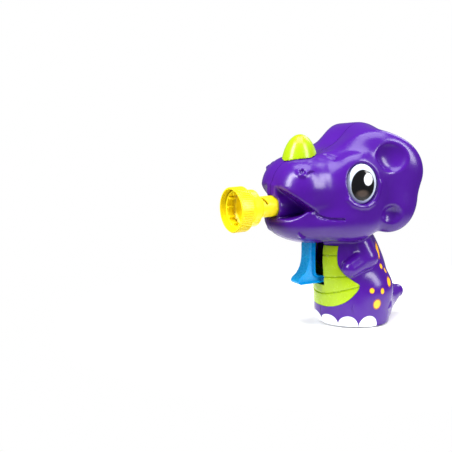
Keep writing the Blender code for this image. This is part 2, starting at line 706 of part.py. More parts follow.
def shells(purple, lime, steel):
    """Two hollow halves, the belly panel let into them and the base plate."""
    low, high = (-50, -72, -6), (50, 50, 132)
    skin_object = net_object("shell_left", outer, low, high, OUTER_CELL, purple)
    hollow = net_object("hollow", inner, (-50, -72, -26), high, INNER_CELL, None)
    combine(skin_object, hollow)
    bore = rod("bore", -80, -30, COLLAR_BORE, None, (0, 0, NOZZLE_Z), 24, "Y")
    combine(skin_object, bore)
    slot = block("slot", (-SLOT_HALF + 0.4, -39.8, 49.2), (SLOT_HALF - 0.4, -13.2, 66.0))
    combine(skin_object, slot)
    hub_room = block("hub_room", (-9.5, -42.0, 56.6), (11.3, -20.0, 72.0))
    combine(skin_object, hub_room)
    drop(hollow, bore, slot, hub_room)

    belly = net_object("belly_panel", belly_field(-0.1, 8.0), (-30, -40, 0), (30, 30, 74), 4.2, lime)
    core = net_object("core", belly_field(1.5, 3.0), (-30, -40, -2), (30, 30, 74), 4.2, None)
    combine(belly, core)
    prism = belly_prism("prism", 0.0)
    combine(belly, prism, "INTERSECT")
    cavity = block("cavity", (-SLOT_HALF - 0.5, -60, 26.0), (SLOT_HALF + 0.5, 0, 80))
    combine(belly, cavity)
    under_jaw = block("under_jaw", (-40, -60, 51.2), (40, 40, 80))
    combine(belly, under_jaw)
    drop(core, prism, cavity, under_jaw)

    window = belly_prism("window", GAP)
    notch = block("notch", (-40, -60, 2), (40, 40, 51.5))
    combine(window, notch, "INTERSECT")
    combine(skin_object, window)
    drop(window, notch)
    half = block("half", (SPLIT, -90, -30), (60, 60, 140))
    combine(skin_object, half, "INTERSECT")
    drop(half)
    right = copy_of(skin_object, "shell_right")
    right.data.transform(Matrix.Scale(-1, 4, Vector((1, 0, 0))))
    right.data.flip_normals()
    bosses(skin_object, right, steel)
    return skin_object, right


def horn(material):
    """Dome on the snout, a little above its skin."""
    def field(p):
        dome = ellipsoid(p, HORN_CENTRE, HORN_RADII)
        return np.maximum(dome, GAP + 0.05 - outer(p))
    x, y, z = HORN_CENTRE
    return net_object("horn", field, (x - 14, y - 15, z - 2), (x + 14, y + 15, z + 25), 3.0, material)


def eyes(material):
    """Domed eyes that stand in their sockets."""
    x, y, z = EYE_CENTRE
    for name, side in (("eye_left", 1), ("eye_right", -1)):
        def field(p, side=side):
            q = p * np.array((side, 1, 1))
            return np.maximum(ellipsoid(q, EYE_CENTRE, EYE_RADII, EYE_TURN), EYE_GAP - outer(q))
        low, high = (side * x - 12, y - 14, z - 15), (side * x + 12, y + 14, z + 15)
        net_object(name, field, low, high, 2.8, material)


def base_plate(material):
    """Disc that closes the foot; its face is what the toy stands on."""
    profile = ((0, 0), (0, BASE_RADIUS), (BASE_THICK, BASE_RADIUS), (BASE_THICK, 0))
    turned("base_plate", profile, material, 40, axis="Z")


def main():
    for item in list(bpy.data.objects):
        bpy.data.objects.remove(item)
    purple = plastic("purple_plastic", (0.076, 0.015, 0.38), 0.22)
    lime = plastic("lime_plastic", (0.42, 0.68, 0.01), 0.25)
    yellow = plastic("yellow_plastic", (1.0, 0.78, 0.01), 0.3)
    blue = plastic("blue_plastic", (0.0, 0.3, 0.75), 0.25)
    white = plastic("white_nylon", (0.82, 0.82, 0.8), 0.4)
    grey = plastic("grey_plastic", (0.35, 0.36, 0.38), 0.45)
    steel = plastic("steel", (0.6, 0.6, 0.62), 0.3, 1.0)
    rubber = plastic("rubber", (0.02, 0.02, 0.02), 0.7)
    shells(purple, lime, steel)
    horn(lime)
    eyes(white)
    gear_train(white, steel, blue)
    trigger(blue, steel)
    housing(grey, white, steel)
    air_path(yellow, grey, rubber)
    base_plate(purple)
    coil("return_spring", (0, PIVOT_Y + 5.4, 57.6), 12.9, 2.1, 0.4, 5, steel)


if __name__ == "__main__":
    main()
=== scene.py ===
"""Looks of a hand-squeezed bubble machine shaped as a baby horned dinosaur.

It is built around the object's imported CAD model, piece by piece, as an add-on with one operator for each.

Lengths are in millimetres unless a name says otherwise; MM turns them into metres.
+X is the animal's left, -Y its front, +Z up; the origin is the middle of the foot.
"""

import json
import math

import bmesh
import bpy
import numpy as np
from mathutils import Matrix, Vector


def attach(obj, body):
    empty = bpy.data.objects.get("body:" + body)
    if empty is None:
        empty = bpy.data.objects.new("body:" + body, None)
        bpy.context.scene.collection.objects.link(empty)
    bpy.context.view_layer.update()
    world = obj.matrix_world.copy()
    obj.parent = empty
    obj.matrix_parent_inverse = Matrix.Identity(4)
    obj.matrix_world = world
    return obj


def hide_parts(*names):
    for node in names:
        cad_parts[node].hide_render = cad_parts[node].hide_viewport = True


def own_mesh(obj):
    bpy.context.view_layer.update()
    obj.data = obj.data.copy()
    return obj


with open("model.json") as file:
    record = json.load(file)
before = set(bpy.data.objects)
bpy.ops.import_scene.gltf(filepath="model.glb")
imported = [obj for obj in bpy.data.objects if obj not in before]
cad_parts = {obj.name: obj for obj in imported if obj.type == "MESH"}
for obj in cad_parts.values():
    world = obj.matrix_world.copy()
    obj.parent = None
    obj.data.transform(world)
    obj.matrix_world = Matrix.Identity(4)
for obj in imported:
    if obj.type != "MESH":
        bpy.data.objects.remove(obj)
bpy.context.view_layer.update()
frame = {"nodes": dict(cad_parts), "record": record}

bl_info = {
    "name": "Bubble machine",
    "version": (1, 0, 0),
    "blender": (4, 5, 0),
    "location": "View3D > Sidebar > Bubble machine",
    "description": "Builds a hand-squeezed bubble machine piece by piece around its CAD model",
    "category": "Object",
}

MM = 0.001
WALL = 2.0                      # moulded wall
GAP = 0.3                       # between neighbours that are fixed together
SPLIT = 0.15                    # half the parting gap between the two shells
SHELL_FOOT = 0.3                # the shells stop just above the base plate's face
NOZZLE_Z = 77.7
NECK_RADIUS = 6.4               # of the nozzle, in the collar's bore
NECK_END = -46.0
AIR_RADIUS = 5.2
COLLAR_RADIUS = 8.3
COLLAR_BORE = 6.8
COLLAR_FRONT = -60.0
PIVOT_Y = -30.0
PIVOT_Z = 64.0
PIN_RADIUS = 1.6
SLOT_HALF = 5.2                 # half widths of the trigger's slot and of the trigger
TRIGGER_HALF = 4.2
SPRING_START = (0.0, PIVOT_Y + 5.4, 57.6)
SPRING_LENGTH = 12.9
SPRING_RADIUS = 2.1
SPRING_WIRE = 0.4
SPRING_TURNS = 5
SCREW_PLACES = ((-46.0, 97.0), (4.0, 113.0), (-49.0, 63.0), (5.0, 40.0), (11.0, 13.0), (-11.0, 13.0))
HORN_CENTRE = (0.0, -41.0, 98.0)
HORN_RADII = (10.9, 11.6, 21.6)
EYE_CENTRE = (27.4, -15.6, 91.2)
EYE_TURN = -20.0
EYE_RADII = (4.6, 9.6, 12.2)
EAR_CENTRE = (21.0, 3.0, 97.0)
EAR_TURN = -31.0
BELLY_OUTLINE = ((53.0, 12.5), (44.0, 13.0), (38.0, 14.0), (31.0, 18.2), (27.0, 20.5), (21.8, 19.8),
                 (16.9, 17.0), (13.8, 12.0), (12.6, 6.0))
BELLY_BACK = -6.0
CREASES = ((45.0, -0.003), (31.0, -0.006), (20.4, -0.013))      # height of each, and how far it droops
SMILE = ((-47.0, 77.0), (-44.5, 75.0), (-41.5, 73.0), (-38.5, 71.8), (-35.0, 71.1), (-28.0, 70.7))
LID = ((-26.0, 82.7), (-23.0, 79.6), (-18.3, 77.8), (-12.5, 77.6), (-8.0, 80.0), (-5.4, 85.0), (-4.3, 91.6))
WRINKLE = ((9.4, -28.6), (13.0, -27.6), (16.4, -26.7))
SPOTS = (((-3.0, 23.5), (1.7, 1.9)), ((4.0, 22.7), (1.5, 2.1)), ((0.6, 14.7), (2.9, 3.5)),
         ((10.5, 27.4), (2.0, 3.3)), ((7.6, 36.7), (1.6, 1.7)), ((7.6, 46.0), (2.0, 5.2)),
         ((10.4, 33.9), (1.1, 1.6)))                            # centre (y, z) and radii of each
TOE_ANGLE = 31.7                # round the foot, in degrees
TOE_HEIGHT = 7.6

PURPLE = (0.058, 0.004, 0.245)
LIME = (0.36, 0.53, 0.002)
YELLOW = (1.0, 0.82, 0.008)
BLUE = (0.0, 0.33, 0.74)
WHITE = (0.82, 0.85, 0.90)
SCLERA = (0.62, 0.70, 0.84)
SPOT_EDGE = (0.30, 0.085, 0.055)
SPOT_MIDDLE = (1.0, 0.50, 0.02)
INK = (0.004, 0.004, 0.005)
# colour of the reflection painted low in each pupil
PUPIL_REFLECTION = (0.35, 0.25, 0.2)

LENS = 113.8                    # on a sensor 36 mm wide
CAMERA_PLACE = (0.7094, -0.5165, 0.2232)                        # in metres
CAMERA_AXES = ((0.5128, 0.8585, 0.0), (-0.1579, 0.0943, 0.9829), (0.8439, -0.5041, 0.1840))
FLOOR_REACH = 3000
LIGHTS = (                      # azimuth, elevation, distance and size in metres, power in watts
    ("overhead", 60, 84, 1.0, (0.8, 0.8), 11.0),
    ("left", 2, 34, 1.1, (0.34, 0.9), 19.0),
    ("right", 112, 30, 1.1, (0.34, 0.9), 13.0),
    ("rear", 200, 40, 1.2, (0.6, 0.6), 6.0),
)


# ---------------------------------------------------------------- distance fields of the moulded skin

def local(p, centre, turn=0.0):
    """Points relative to a centre, turned back about the vertical."""
    q = p - np.array(centre)
    c, s = math.cos(math.radians(turn)), math.sin(math.radians(turn))
    return np.stack([c * q[..., 0] + s * q[..., 1], c * q[..., 1] - s * q[..., 0], q[..., 2]], -1)


def ellipsoid(p, centre, radii, turn=0.0):
    """Nearly the distance from an ellipsoid's surface, below zero inside."""
    q = local(p, centre, turn)
    r = np.array(radii)
    k0 = np.sqrt(((q / r) ** 2).sum(-1))
    k1 = np.sqrt(((q / r ** 2) ** 2).sum(-1))
    return k0 * (k0 - 1) / np.maximum(k1, 1e-6)


def rounded_box(p, centre, half, radius):
    """Distance from a box with rounded edges."""
    q = np.abs(local(p, centre)) - (np.array(half) - radius)
    return np.sqrt((np.maximum(q, 0) ** 2).sum(-1)) + np.minimum(q.max(-1), 0) - radius


def limb(p, start, end, start_radius, end_radius):
    """Distance from a round bar that tapers from one point to another."""
    a, b = np.array(start), np.array(end)
    t = np.clip(((p - a) @ (b - a)) / ((b - a) @ (b - a)), 0, 1)
    away = np.sqrt(((p - a - t[..., None] * (b - a)) ** 2).sum(-1))
    return away - (start_radius + (end_radius - start_radius) * t)


def join(a, b, fillet):
    """Union of two fields with a fillet between them."""
    h = np.maximum(fillet - np.abs(a - b), 0) / fillet
    return np.minimum(a, b) - h * h * fillet / 4


def cut(a, b, fillet):
    """The first field with the second taken out of it."""
    return -join(-a, b, fillet)


def head(p):
    """Skull, snout, jaw, cheek, crest, brow and ear."""
    f = ellipsoid(p, (0, -15, 85), (30, 30, 25))
    f = join(f, rounded_box(p, (0, -40, 85), (24, 21.5, 21.5), 19), 9)
    f = join(f, ellipsoid(p, (0, -31, 68.5), (25.5, 31, 15.5)), 4)
    f = join(f, ellipsoid(p, (19, -14, 70), (12.5, 20, 15)), 8)
    f = join(f, ellipsoid(p, (0, 3, 102.8), (24, 17, 21.5)), 10)
    f = join(f, ellipsoid(p, (23, -16.5, 91), (8, 14.5, 17), EYE_TURN), 6)
    q = local(p, EAR_CENTRE, EAR_TURN)
    f = join(f, ellipsoid(q, (0, 0, -0.5), (8.5, 26.5, 23.5)), 12)
    lobe = join(ellipsoid(q, (-0.5, 3.5, -14), (8, 20, 20)), ellipsoid(q, (0, 6, -24), (7.5, 13.5, 13.5)), 8)
    f = join(f, lobe, 3.5)
    f = cut(f, ellipsoid(q, (10.0, 8.2, 10.7), (6.3, 11.2, 10.4)), 1.2)
    f = cut(f, ellipsoid(q, (8.9, 7.3, -25.5), (3.4, 5.0, 4.8)), 3)
    return cut(f, ellipsoid(p, (29.5, -16.0, 91.2), (5.5, 10.4, 13.0), EYE_TURN), 1.5)


def mouth(p):
    """Open mouth: a slanted upper lip, and a lower lip that rises to meet it at the corners."""
    y, z = p[..., 1], p[..., 2]
    upper = (z - 76.7 + 0.842 * (y + 45.3)) / 1.31
    rise = 5.3 * np.clip((y + 57.5) / 9, 0, 1) * np.minimum((p[..., 0] / 20) ** 2, 1)
    return np.maximum(np.maximum(upper, 70.8 + rise - z), y + 42)


def collar(p):
    """Tube that holds the nozzle's neck, and the web that hangs it from the beak."""
    round_part = np.sqrt(p[..., 0] ** 2 + (p[..., 2] - NOZZLE_Z) ** 2) - COLLAR_RADIUS
    tube = np.maximum(round_part, np.maximum(COLLAR_FRONT - p[..., 1], p[..., 1] + 36))
    return join(tube, rounded_box(p, (0, -48.5, 87.5), (5.2, 13.3, 4.5), 2), 2)


def barrel(p):
    """Neck, chest, belly and foot, whose front edge is rounded."""
    f = ellipsoid(p, (0, -8.5, 50), (15.7, 19, 18))
    f = join(f, ellipsoid(p, (0, -4.5, 36), (19.5, 23, 22)), 8)
    f = join(f, ellipsoid(p, (0, -1, 20), (22.5, 23.5, 24)), 8)
    f = join(f, ellipsoid(p, (0, 0, 5), (23, 23, 24)), 8)
    edge = 0.8 + 2.7 * np.clip((4 - p[..., 1]) / 12, 0, 1)
    under = np.maximum(edge - np.maximum(p[..., 2], 0), 0)
    reach = 23.3 - edge + np.sqrt(edge ** 2 - under ** 2) + 1.5 * np.maximum(p[..., 2] - edge, 0)
    return cut(f, reach - np.hypot(p[..., 0], p[..., 1]), 0.5)


def trunk(p):
    """The barrel with haunch, arm and tail."""
    f = join(barrel(p), ellipsoid(p, (14.5, 4.5, 21.5), (10.8, 13.5, 14.5)), 4)
    f = join(f, limb(p, (12.8, -6, 53), (19.3, -4.5, 44), 8.0, 7.3), 2.5)
    f = join(f, limb(p, (19.3, -4.5, 44), (19.3, -15.8, 38.2), 6.8, 5.5), 1.5)
    return join(f, limb(p, (0, 19.5, 11.8), (0, 34.2, 14.4), 12.8, 4.4), 5)


def skin(p, face=head):
    """Outer skin before the foot is cut level."""
    p = np.stack([np.abs(p[..., 0]), p[..., 1], p[..., 2]], -1)
    f = cut(face(p), mouth(p), 1.6)
    f = join(f, collar(p), 1.2)
    f = join(f, trunk(p), 3)
    return cut(f, rounded_box(p, (0, -25, 43.5), (SLOT_HALF, 15, 17.8), 1), 1)


def surface_net(field, low, high, cell):
    """Closed mesh of the surface where the field is zero: one point for each cell that it crosses."""
    low = np.array(low)
    count = np.ceil((np.array(high) - low) / cell).astype(int) + 1
    axes = [low[i] + cell * np.arange(count[i]) for i in range(3)]
    value = fill_diagonals(field(np.stack(np.meshgrid(*axes, indexing="ij"), -1)), cell)
    inside = value < 0
    corners = [np.array((i, j, k)) for i in (0, 1) for j in (0, 1) for k in (0, 1)]
    total = sum(inside[tuple(slice(c[i], count[i] - 1 + c[i]) for i in range(3))].astype(int)
                for c in corners)
    cells = np.argwhere((total > 0) & (total < 8))
    number = -np.ones(total.shape, int)
    number[tuple(cells.T)] = np.arange(len(cells))
    points, hits = np.zeros((len(cells), 3)), np.zeros(len(cells))
    for corner in corners:
        for axis in range(3):
            if corner[axis]:
                continue
            step = np.eye(3, dtype=int)[axis]
            a, b = value[tuple((cells + corner).T)], value[tuple((cells + corner + step).T)]
            crossed = (a < 0) != (b < 0)
            part = a[crossed] / (a[crossed] - b[crossed])
            points[crossed] += cells[crossed] + corner + part[:, None] * step
            hits[crossed] += 1
    points = low + cell * points / hits[:, None]
    points = onto_surface(field, points, cell)
    quads = []
    for axis in range(3):
        here, there = [slice(1, -1)] * 3, [slice(1, -1)] * 3
        here[axis], there[axis] = slice(0, -1), slice(1, None)
        start = np.ones(3, int)
        start[axis] = 0
        edges = np.argwhere(inside[tuple(here)] != inside[tuple(there)]) + start
        leaving = inside[tuple(edges.T)]
        u, w = np.eye(3, dtype=int)[(axis + 1) % 3], np.eye(3, dtype=int)[(axis + 2) % 3]
        quad = np.stack([number[tuple((edges - d).T)] for d in (0 * u, u, u + w, w)], -1)
        quad[~leaving] = quad[~leaving][:, ::-1]
        quads.append(quad)
    return points, np.concatenate(quads)


def fill_diagonals(value, cell):
    """Fills cell faces whose inside corners are diagonal, so that no two sheets share an edge."""
    for _ in range(6):
        for axis in range(3):
            u, w = [i for i in range(3) if i != axis]
            parts = []
            for du, dw in ((0, 0), (0, 1), (1, 0), (1, 1)):
                window = [slice(None)] * 3
                window[u] = slice(du, value.shape[u] - 1 + du)
                window[w] = slice(dw, value.shape[w] - 1 + dw)
                parts.append(value[tuple(window)])
            a, b, c, d = [part < 0 for part in parts]
            diagonal = (a & d & ~b & ~c) | (b & c & ~a & ~d)
            for part in parts:
                part[diagonal & (part >= 0)] = -0.05 * cell
    return value


def onto_surface(field, points, cell):
    """Two steps along the slope, each shorter than a cell."""
    for _ in range(2):
        h = 0.2 * cell
        slope = np.stack([(field(points + h * e) - field(points - h * e)) / (2 * h) for e in np.eye(3)], -1)
        move = -field(points)[:, None] * slope / np.maximum((slope ** 2).sum(-1, keepdims=True), 0.05)
        length = np.linalg.norm(move, axis=1, keepdims=True)
        points = points + move * np.minimum(1, 0.6 * cell / np.maximum(length, 1e-9))
    return points


def away_from(a, b, path):
    """Distance, in the plane of two coordinates, from a path of points."""
    flat = np.stack([a, b], -1)
    reach = None
    for start, end in zip(path, path[1:]):
        first, along = np.array(start), np.array(end) - np.array(start)
        t = np.clip(((flat - first) @ along) / (along @ along), 0, 1)
        away = np.sqrt(((flat - first - t[..., None] * along) ** 2).sum(-1))
        reach = away if reach is None else np.minimum(reach, away)
    return reach


def ridge(f, away, width, height):
    """Raises a soft ridge; a height below zero presses a crease."""
    return f - height * np.exp(-(away / width) ** 2)


def face(p):
    """The head with nostrils, a lid under the eye, a wrinkle and the corner of the smile."""
    x, y, z = p[..., 0], p[..., 1], p[..., 2]
    f = head(p)
    f = join(f, ellipsoid(p, (16.2, -50.4, 98.3), (4.0, 2.9, 2.3), EYE_TURN), 2.2)
    f = cut(f, ellipsoid(p, (17.9, -50.8, 99.9), (2.6, 1.8, 2.0), EYE_TURN), 1.2)
    f = np.where(z > 100, ridge(f, away_from(x, y, WRINKLE), 1.0, -0.8), f)
    side = ridge(f, away_from(y, z, LID), 1.3, 0.7)
    smile = cut(side, np.maximum(away_from(y, z, SMILE) - 0.75, -side - 1.0), 0.5)
    return np.where(x > 12, smile, f)


def fine_outer(p):
    """Left half of the outer skin with its details, cut just past the middle plane."""
    return np.maximum(np.maximum(skin(p, face), SHELL_FOOT - p[..., 2]), -1.5 - p[..., 0])


def hollow_field(p):
    """Inside of the left half, a wall's thickness below the skin."""
    return np.maximum(skin(p) + WALL, -4.0 - p[..., 0])


# ---------------------------------------------------------------- meshes

def mesh_object(name, points, faces):
    """A named object from points in millimetres, with its faces turned outwards."""
    mesh = bpy.data.meshes.new(name)
    mesh.from_pydata((np.asarray(points, float) * MM).tolist(), [], [list(face) for face in faces])
    maker = bmesh.new()
    maker.from_mesh(mesh)
    bmesh.ops.recalc_face_normals(maker, faces=maker.faces)
    maker.to_mesh(mesh)
    maker.free()
    item = bpy.data.objects.new(name, mesh)
    bpy.context.scene.collection.objects.link(item)
    return item


def net_object(name, field, low, high, cell):
    """A closed object from a field, sampled inside a box."""
    points, quads = surface_net(field, low, high, cell)
    return mesh_object(name, points, [quad for quad in quads.tolist() if len(set(quad)) == 4])


def prism(name, outline, low, high, axis="X"):
    """A solid of constant section: outline points are (y, z) along X, or (x, z) along Y."""
    count = len(outline)
    points = []
    for along in (low, high):
        points += [(along, a, b) if axis == "X" else (a, along, b) for a, b in outline]
    faces = [list(range(count)), list(range(count, 2 * count))]
    faces += [(i, (i + 1) % count, count + (i + 1) % count, count + i) for i in range(count)]
    return mesh_object(name, points, faces)


def box(name, low, high):
    """A plain block between two corners."""
    (x0, y0, z0), (x1, y1, z1) = low, high
    return prism(name, ((y0, z0), (y1, z0), (y1, z1), (y0, z1)), x0, x1)


def turned(name, profile, steps=64, place=(0, 0, 0), axis="Y"):
    """A turned piece from a closed profile of (distance along the axis, radius) points."""
    points, rings = [], []
    for along, radius in profile:
        around = 1 if radius < 1e-6 else steps
        rings.append([len(points) + i for i in range(around)])
        for i in range(around):
            a, b = radius * math.cos(math.tau * i / steps), radius * math.sin(math.tau * i / steps)
            turned_point = {"X": (along, a, b), "Y": (a, along, b), "Z": (a, b, along)}[axis]
            points.append([u + v for u, v in zip(turned_point, place)])
    faces = []
    for ring, after in zip(rings, rings[1:] + rings[:1]):
        if len(ring) == 1 and len(after) == 1:
            continue
        for i in range(steps):
            j = (i + 1) % steps
            corners = (ring[i % len(ring)], ring[j % len(ring)], after[j % len(after)], after[i % len(after)])
            faces.append(list(dict.fromkeys(corners)))
    return mesh_object(name, points, faces)


def rod(name, low, high, radius, place=(0, 0, 0), steps=32, axis="X"):
    """A plain cylinder along an axis through a place."""
    return turned(name, ((low, 0), (low, radius), (high, radius), (high, 0)), steps, place, axis)


def softened(profile, reach):
    """A closed profile whose corners are cut back twice, for the small radii of a moulding."""
    points = [np.array(point, float) for point in profile]
    result = []
    for i, point in enumerate(points):
        before, after = points[i - 1] - point, points[(i + 1) % len(points)] - point
        short = min(reach, np.linalg.norm(before) * 0.4, np.linalg.norm(after) * 0.4)
        a = point + before / np.linalg.norm(before) * short
        b = point + after / np.linalg.norm(after) * short
        result += [tuple(a), tuple(0.25 * a + 0.5 * point + 0.25 * b), tuple(b)]
    return result


def curve_through(points, per_span=8):
    """Points of a smooth open curve through the given ones."""
    points = [np.array(point, float) for point in points]
    ends = [2 * points[0] - points[1], *points, 2 * points[-1] - points[-2]]
    result = []
    for a, b, c, d in zip(ends, ends[1:], ends[2:], ends[3:]):
        for i in range(per_span):
            t = i / per_span
            result.append(0.5 * (2 * b + (c - a) * t + (2 * a - 5 * b + 4 * c - d) * t ** 2
                                 + (3 * b - a - 3 * c + d) * t ** 3))
    return [tuple(point) for point in (*result, points[-1])]


def store(item):
    """Keeps what an object's modifiers make and removes them."""
    graph = bpy.context.evaluated_depsgraph_get()
    mesh = bpy.data.meshes.new_from_object(item.evaluated_get(graph))
    item.modifiers.clear()
    item.data = mesh
    return item


def combine(target, *tools, operation="DIFFERENCE"):
    """Boolean with each tool in turn; the tools are then removed."""
    for tool in tools:
        modifier = target.modifiers.new("Cut", "BOOLEAN")
        modifier.operation = operation
        modifier.object = tool
        modifier.solver = "MANIFOLD"
        store(target)
        bpy.data.objects.remove(tool)
    if not target.data.polygons:
        raise RuntimeError(f"nothing is left of {target.name}")
    return target


def joined(name, items):
    """One object of several separate solids."""
    maker = bmesh.new()
    for item in items:
        maker.from_mesh(item.data)
        bpy.data.objects.remove(item)
    mesh = bpy.data.meshes.new(name)
    maker.to_mesh(mesh)
    maker.free()
    result = bpy.data.objects.new(name, mesh)
    bpy.context.scene.collection.objects.link(result)
    return result


def mirrored(item, name):
    """A copy on the other side of the middle plane."""
    mesh = item.data.copy()
    mesh.transform(Matrix.Scale(-1, 4, Vector((1, 0, 0))))
    mesh.flip_normals()
    result = bpy.data.objects.new(name, mesh)
    bpy.context.scene.collection.objects.link(result)
    return result


def rounded(item, width):
    """Rounds the sharp edges of an object."""
    modifier = item.modifiers.new("Round", "BEVEL")
    modifier.width = width * MM
    modifier.segments = 2
    modifier.limit_method = "ANGLE"
    modifier.angle_limit = math.radians(30)
    modifier.harden_normals = True
    return store(item)


def finish_piece(item, slot, nodes, body="housing"):
    """Smooths a piece, gives it its slot's material and puts it on its body in place of its CAD nodes."""
    item.data.materials.clear()
    item.data.materials.append(MATERIALS[slot])
    item.data.shade_smooth()
    item.data.set_sharp_from_angle(angle=math.radians(32))
    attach(item, body)
    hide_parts(*nodes)


# ---------------------------------------------------------------- materials

def add(tree, kind, settings=None, **inputs):
    """A node with its settings and inputs; an input is a value or another node's socket."""
    node = tree.nodes.new(kind)
    for key, value in (settings or {}).items():
        setattr(node, key, value)
    for key, value in inputs.items():
        socket = node.inputs[int(key[1:])] if key[1:].isdigit() else node.inputs[key.replace("_", " ")]
        if isinstance(value, bpy.types.NodeSocket):
            tree.links.new(value, socket)
        else:
            socket.default_value = value
    return node


def calc(tree, operation, *values, clamp=False):
    """The result of one arithmetic node."""
    inputs = {f"i{i}": value for i, value in enumerate(values)}
    return add(tree, "ShaderNodeMath", {"operation": operation, "use_clamp": clamp}, **inputs).outputs[0]


def below(tree, value, limit, soft):
    """1 where the value is well below the limit, 0 above it, with a soft edge."""
    spread = add(tree, "ShaderNodeMapRange", {"interpolation_type": "SMOOTHSTEP"}, i0=value, i1=limit - soft,
                 i2=limit + soft, i3=1.0, i4=0.0)
    return spread.outputs[0]


def mix(tree, factor, first, second):
    """A blend of two colours, each a socket or a plain colour."""
    node = add(tree, "ShaderNodeMix", {"data_type": "RGBA"})
    for index, value in ((0, factor), (6, first), (7, second)):
        if isinstance(value, bpy.types.NodeSocket):
            tree.links.new(value, node.inputs[index])
        else:
            node.inputs[index].default_value = value if index == 0 else (*value, 1.0)
    return node.outputs[2]


def millimetres(tree):
    """Object coordinates in millimetres."""
    place = add(tree, "ShaderNodeTexCoord").outputs["Object"]
    return add(tree, "ShaderNodeVectorMath", {"operation": "SCALE"}, i0=place, Scale=1 / MM).outputs[0]


def surface(name, colour, rough, metallic=0.0, grain=0.15, paint=None):
    """A moulded or metal surface: slight colour drift, uneven gloss, fine grain and handling marks."""
    material = bpy.data.materials.new(name)
    material.use_nodes = True
    tree = material.node_tree
    shader = tree.nodes["Principled BSDF"]
    place = millimetres(tree)
    drift = add(tree, "ShaderNodeTexNoise", i0=place, Scale=0.035, Detail=2.0).outputs[0]
    marks = add(tree, "ShaderNodeTexNoise", i0=place, Scale=0.45, Detail=5.0, Roughness=0.62).outputs[0]
    fine = add(tree, "ShaderNodeTexNoise", i0=place, Scale=1.6, Detail=1.0).outputs[0]
    dim = tuple(channel * 0.9 for channel in colour)
    base = mix(tree, drift, dim, colour)
    if paint:
        base = paint(tree, place, base)
    tree.links.new(base, shader.inputs["Base Color"])
    gloss = add(tree, "ShaderNodeMapRange", i0=marks, i1=0.35, i2=0.7, i3=rough[0], i4=rough[1]).outputs[0]
    tree.links.new(gloss, shader.inputs["Roughness"])
    bump = add(tree, "ShaderNodeBump", Strength=grain, Distance=0.00001, Height=fine)
    tree.links.new(bump.outputs[0], shader.inputs["Normal"])
    shader.inputs["Metallic"].default_value = metallic
    shader.inputs["IOR"].default_value = 1.46
    return material


def ellipse(tree, across, up, centre, radii):
    """Distance from an ellipse's centre, in its radii."""
    a = calc(tree, "DIVIDE", calc(tree, "SUBTRACT", across, centre[0]), radii[0])
    b = calc(tree, "DIVIDE", calc(tree, "SUBTRACT", up, centre[1]), radii[1])
    return calc(tree, "SQRT", calc(tree, "ADD", calc(tree, "MULTIPLY", a, a), calc(tree, "MULTIPLY", b, b)))


def skin_paint(tree, place, base):
    """Spots with a brown edge on the flanks, and white toenails round the foot."""
    parts = add(tree, "ShaderNodeSeparateXYZ", i0=place).outputs
    side = calc(tree, "ABSOLUTE", parts[0])
    nearest = None
    for centre, radii in SPOTS:
        away = ellipse(tree, parts[1], parts[2], centre, radii)
        nearest = away if nearest is None else calc(tree, "MINIMUM", nearest, away)
    flank = calc(tree, "GREATER_THAN", side, 5.0)
    edge = calc(tree, "MULTIPLY", below(tree, nearest, 1.0, 0.07), flank)
    middle = calc(tree, "MULTIPLY", below(tree, nearest, 0.76, 0.07), flank)
    base = mix(tree, edge, base, SPOT_EDGE)
    base = mix(tree, middle, base, SPOT_MIDDLE)
    angle = calc(tree, "MULTIPLY", calc(tree, "ARCTAN2", parts[1], side), 180 / math.pi)
    toes_round = calc(tree, "DIVIDE", calc(tree, "ADD", angle, 90.0), TOE_ANGLE)
    across = calc(tree, "MULTIPLY", calc(tree, "SUBTRACT", calc(tree, "FRACT", toes_round), 0.5), 2.03)
    arch = calc(tree, "SQRT", calc(tree, "SUBTRACT", 1.0, calc(tree, "MULTIPLY", across, across), clamp=True))
    web = calc(tree, "MAXIMUM", calc(tree, "MULTIPLY", calc(tree, "ADD", angle, 26.0), -0.06), 0.4)
    height = calc(tree, "ADD", web, calc(tree, "MULTIPLY", arch, calc(tree, "SUBTRACT", TOE_HEIGHT, web)))
    toe = below(tree, calc(tree, "SUBTRACT", parts[2], height), 0.0, 0.2)
    toe = calc(tree, "MULTIPLY", toe, calc(tree, "LESS_THAN", angle, 5.0))
    return mix(tree, toe, base, WHITE)


def eye_paint(tree, place, base):
    """Printed pupil, with a painted brown reflection low in it and a painted white highlight as its catch
    light.
    """
    parts = add(tree, "ShaderNodeSeparateXYZ", i0=place).outputs
    x = calc(tree, "SUBTRACT", calc(tree, "ABSOLUTE", parts[0]), EYE_CENTRE[0])
    y = calc(tree, "SUBTRACT", parts[1], EYE_CENTRE[1])
    c, s = math.cos(math.radians(EYE_TURN)), math.sin(math.radians(EYE_TURN))
    across = calc(tree, "SUBTRACT", calc(tree, "MULTIPLY", y, c), calc(tree, "MULTIPLY", x, s))
    up = calc(tree, "SUBTRACT", parts[2], EYE_CENTRE[2])
    pupil = below(tree, ellipse(tree, across, up, (0.5, -0.4), (7.2, 9.4)), 1.0, 0.03)
    base = mix(tree, pupil, base, INK)
    # a brown reflection of the surroundings, painted into the lower part of the pupil
    low_reflection = below(tree, ellipse(tree, across, up, (0.2, -5.4), (4.2, 2.6)), 0.8, 0.35)
    base = mix(tree, calc(tree, "MULTIPLY", low_reflection, 0.22), base, PUPIL_REFLECTION)
    # a white highlight painted into the pupil as its catch light
    light = below(tree, ellipse(tree, across, up, (3.6, 3.1), (2.8, 3.7)), 1.0, 0.05)
    return mix(tree, light, base, WHITE)


